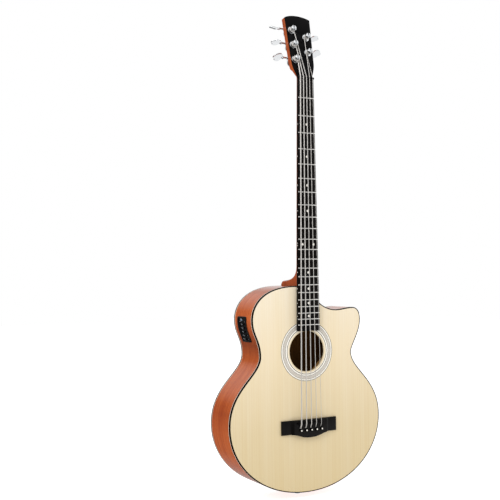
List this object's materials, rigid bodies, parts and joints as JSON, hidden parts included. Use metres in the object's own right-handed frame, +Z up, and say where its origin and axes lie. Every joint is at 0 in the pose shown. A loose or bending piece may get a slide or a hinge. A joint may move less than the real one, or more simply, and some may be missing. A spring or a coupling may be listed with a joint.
{
  "type": "acoustic bass guitar",
  "caption": "Flat-top acoustic-electric bass with a rounded single-cutaway body, long fretted neck, geared tuners, pinned bridge and side preamp.",
  "frame": {"origin": "on the centre line, half way through the headstock's wood, 14 mm above the nut, where a hanger's two arms hold the instrument under the headstock's shoulders", "axes": "+X to the treble side, the player's cutaway side; +Y from the soundboard to the back; +Z up the neck, from the tail to the headstock. The soundboard's face lies at y = -4.5 mm and the nut's front edge at z = -17.2 mm"},
  "size_m": [0.4414, 0.1304, 1.2272],
  "materials": {
    "top_wood": "pale spruce under gloss lacquer",
    "body_wood": "orange-brown mahogany under gloss lacquer",
    "plain_wood": "unfinished",
    "black_wood": "oiled black hardwood, satin",
    "black_plastic": "gloss",
    "rosette_inlay": "grey and white mosaic under gloss lacquer",
    "chrome": "polished",
    "string_steel": "round wound",
    "rod_steel": "plain",
    "fader_plastic": "matte",
    "battery_wrap": "printed steel case, left plain"
  },
  "bodies": {
    "instrument": {"soundboard": "top_wood", "back_plate": "body_wood", "rib_bass": "body_wood", "rib_treble": "body_wood", "neck": "body_wood", "lining_front": "plain_wood", "lining_back": "plain_wood", "neck_block": "plain_wood", "tail_block": "plain_wood", "x_brace": "plain_wood", "upper_brace": "plain_wood", "bridge_plate": "plain_wood", "back_brace_upper": "plain_wood", "back_brace_middle": "plain_wood", "back_brace_lower": "plain_wood", "fretboard": "black_wood", "bridge": "black_wood", "binding_front": "black_plastic", "binding_back": "black_plastic", "headstock_veneer": "black_plastic", "nut": "black_plastic", "saddle": "black_plastic", "preamp_frame": "black_plastic", "bridge_pin_1": "black_plastic", "bridge_pin_2": "black_plastic", "bridge_pin_3": "black_plastic", "bridge_pin_4": "black_plastic", "bridge_pin_5": "black_plastic", "rosette": "rosette_inlay", "output_jack": "chrome", "strap_button": "chrome", "tuner_plate_1": "chrome", "tuner_plate_2": "chrome", "tuner_plate_3": "chrome", "tuner_plate_4": "chrome", "tuner_plate_5": "chrome", "string_1": "string_steel", "string_2": "string_steel", "string_3": "string_steel", "string_4": "string_steel", "string_5": "string_steel", "truss_rod": "rod_steel"},
    "truss_rod_nut": {"truss_rod_nut": "rod_steel"},
    "panel": {"preamp_panel": "black_plastic", "battery": "battery_wrap"},
    "slider_1": {"preamp_slider_1": "fader_plastic"},
    "key_1": {"tuner_key_1": "chrome"},
    "post_1": {"tuner_post_1": "chrome"},
    "slider_2": {"preamp_slider_2": "fader_plastic"},
    "key_2": {"tuner_key_2": "chrome"},
    "post_2": {"tuner_post_2": "chrome"},
    "slider_3": {"preamp_slider_3": "fader_plastic"},
    "key_3": {"tuner_key_3": "chrome"},
    "post_3": {"tuner_post_3": "chrome"},
    "slider_4": {"preamp_slider_4": "fader_plastic"},
    "key_4": {"tuner_key_4": "chrome"},
    "post_4": {"tuner_post_4": "chrome"},
    "slider_5": {"preamp_slider_5": "fader_plastic"},
    "key_5": {"tuner_key_5": "chrome"},
    "post_5": {"tuner_post_5": "chrome"}
  },
  "joints": [
    {"name": "tuner_key_1_turn", "type": "hinge", "parent": "instrument", "child": "key_1", "pos_m": [-0.0225, 0.0234, 0.04154], "axis": [1, 0, 0], "continuous": true},
    {"name": "tuner_post_1_turn", "type": "hinge", "parent": "instrument", "child": "post_1", "pos_m": [-0.0225, -0.00033, 0.0333], "axis": [0, -0.9781, 0.2079], "continuous": true},
    {"name": "tuner_key_2_turn", "type": "hinge", "parent": "instrument", "child": "key_2", "pos_m": [-0.0225, 0.03178, 0.08096], "axis": [1, 0, 0], "continuous": true},
    {"name": "tuner_post_2_turn", "type": "hinge", "parent": "instrument", "child": "post_2", "pos_m": [-0.0225, 0.00804, 0.07272], "axis": [0, -0.9781, 0.2079], "continuous": true},
    {"name": "tuner_key_3_turn", "type": "hinge", "parent": "instrument", "child": "key_3", "pos_m": [-0.0225, 0.04016, 0.12038], "axis": [1, 0, 0], "continuous": true},
    {"name": "tuner_post_3_turn", "type": "hinge", "parent": "instrument", "child": "post_3", "pos_m": [-0.0225, 0.01642, 0.11214], "axis": [0, -0.9781, 0.2079], "continuous": true},
    {"name": "tuner_key_4_turn", "type": "hinge", "parent": "instrument", "child": "key_4", "pos_m": [0.0185, 0.03681, 0.10463], "axis": [1, 0, 0], "continuous": true},
    {"name": "tuner_post_4_turn", "type": "hinge", "parent": "instrument", "child": "post_4", "pos_m": [0.0185, 0.01308, 0.09639], "axis": [0, -0.9781, 0.2079], "continuous": true},
    {"name": "tuner_key_5_turn", "type": "hinge", "parent": "instrument", "child": "key_5", "pos_m": [0.0185, 0.02808, 0.06355], "axis": [1, 0, 0], "continuous": true},
    {"name": "tuner_post_5_turn", "type": "hinge", "parent": "instrument", "child": "post_5", "pos_m": [0.0185, 0.00434, 0.0553], "axis": [0, -0.9781, 0.2079], "continuous": true},
    {"name": "truss_rod_nut_turn", "type": "hinge", "parent": "instrument", "child": "truss_rod_nut", "pos_m": [0, 0.0035, -0.60919], "axis": [0, 0, 1], "range_deg": [-180, 180]},
    {"name": "preamp_panel_hinge", "type": "hinge", "parent": "instrument", "child": "panel", "pos_m": [-0.15012, 0.06597, -0.64772], "axis": [0.2195, 0, -0.9756], "range_deg": [0, 60]},
    {"name": "preamp_slider_1_slide", "type": "slide", "parent": "panel", "child": "slider_1", "axis": [0, -1, 0], "range_m": [-0.006, 0.006]},
    {"name": "preamp_slider_2_slide", "type": "slide", "parent": "panel", "child": "slider_2", "axis": [0, -1, 0], "range_m": [-0.006, 0.006]},
    {"name": "preamp_slider_3_slide", "type": "slide", "parent": "panel", "child": "slider_3", "axis": [0, -1, 0], "range_m": [-0.006, 0.006]},
    {"name": "preamp_slider_4_slide", "type": "slide", "parent": "panel", "child": "slider_4", "axis": [0, -1, 0], "range_m": [-0.006, 0.006]},
    {"name": "preamp_slider_5_slide", "type": "slide", "parent": "panel", "child": "slider_5", "axis": [0, -1, 0], "range_m": [-0.006, 0.006]}
  ],
  "couplings": [
    {"joint": "tuner_post_1_turn", "follows": "tuner_key_1_turn", "ratio": 0.05},
    {"joint": "tuner_post_2_turn", "follows": "tuner_key_2_turn", "ratio": 0.05},
    {"joint": "tuner_post_3_turn", "follows": "tuner_key_3_turn", "ratio": 0.05},
    {"joint": "tuner_post_4_turn", "follows": "tuner_key_4_turn", "ratio": 0.05},
    {"joint": "tuner_post_5_turn", "follows": "tuner_key_5_turn", "ratio": 0.05}
  ]
}
